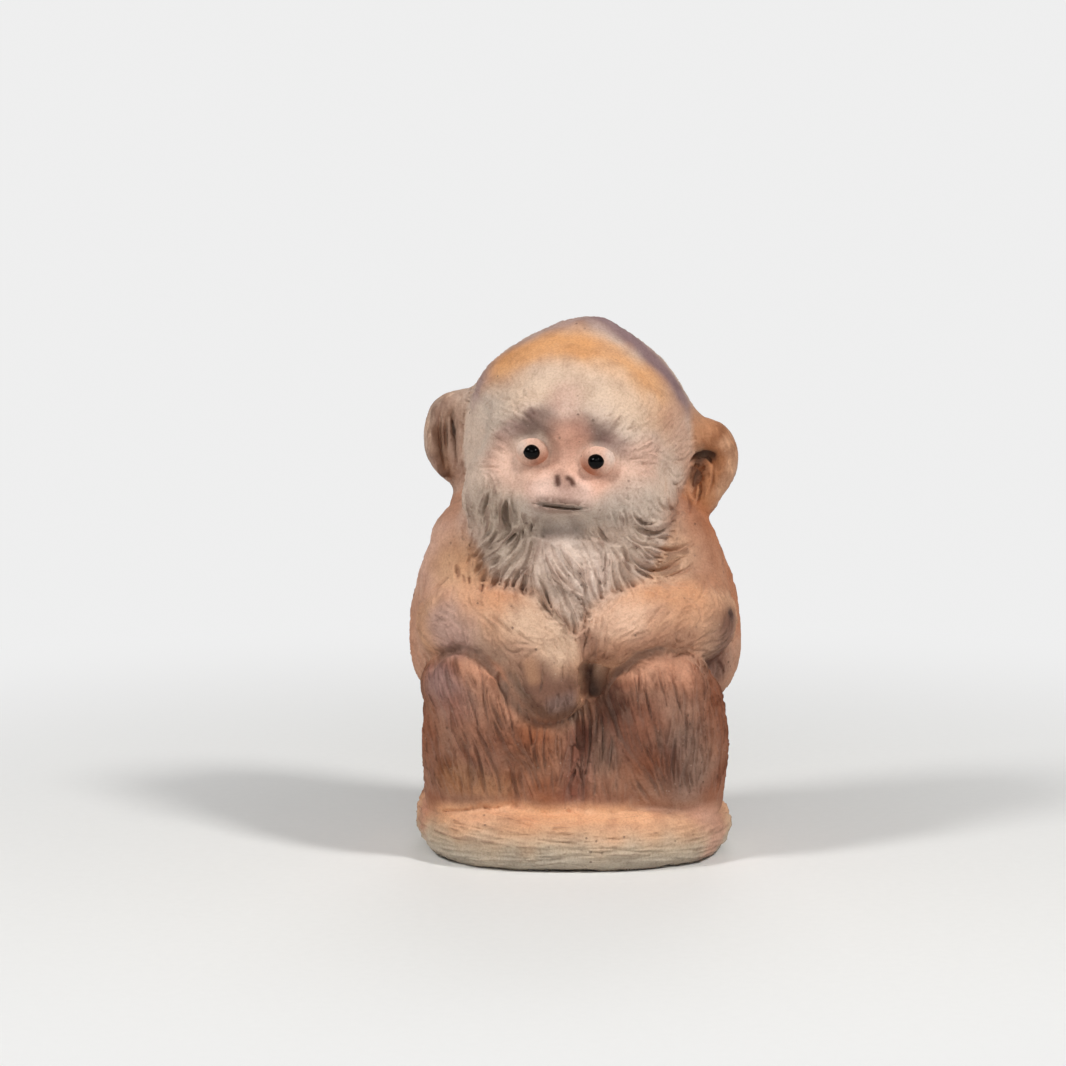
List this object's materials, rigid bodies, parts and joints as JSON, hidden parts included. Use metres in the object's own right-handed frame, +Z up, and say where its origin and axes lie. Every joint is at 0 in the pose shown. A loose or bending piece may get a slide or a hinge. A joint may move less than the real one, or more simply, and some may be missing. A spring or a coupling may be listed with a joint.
{
  "type": "monkey figurine",
  "caption": "Seated long-tailed monkey in hand-modelled fired clay, arms folded across the chest, knees drawn up, the tail wrapped round the base as a thick roll.",
  "frame": {"origin": "centre of the underside of the floor slab, on the plane that the figure stands on", "axes": "+Z up, the figure's face looks along -Y, its own left side is at +X"},
  "size_m": [0.037, 0.0303, 0.0595],
  "materials": {
    "base_clay": "matte unglazed fired clay",
    "tail_clay": "matte unglazed fired clay, cream with an orange-pink flush",
    "coat_clay": "matte unglazed fired clay, terracotta with mauve and ochre airbrushing",
    "hand_clay": "matte unglazed fired clay, grey-brown",
    "head_clay": "matte unglazed fired clay, ochre crown and pink face",
    "beard_clay": "matte unglazed fired clay, cream-grey",
    "ear_clay": "matte unglazed fired clay, orange-ochre",
    "eye_clay": "smooth matte fired clay, pinkish",
    "pupil_glaze": "glossy black glaze drop"
  },
  "bodies": {
    "root": {"floor": "base_clay", "tail": "tail_clay", "torso": "coat_clay", "right_shin": "coat_clay", "left_shin": "coat_clay", "right_thigh": "coat_clay", "left_thigh": "coat_clay", "right_upper_arm": "coat_clay", "left_upper_arm": "coat_clay", "right_forearm": "coat_clay", "left_forearm": "coat_clay", "right_hand": "hand_clay", "left_hand": "hand_clay", "head": "head_clay", "beard": "beard_clay", "right_ear": "ear_clay", "left_ear": "ear_clay", "right_eyeball": "eye_clay", "left_eyeball": "eye_clay", "right_pupil": "pupil_glaze", "left_pupil": "pupil_glaze"}
  },
  "joints": []
}
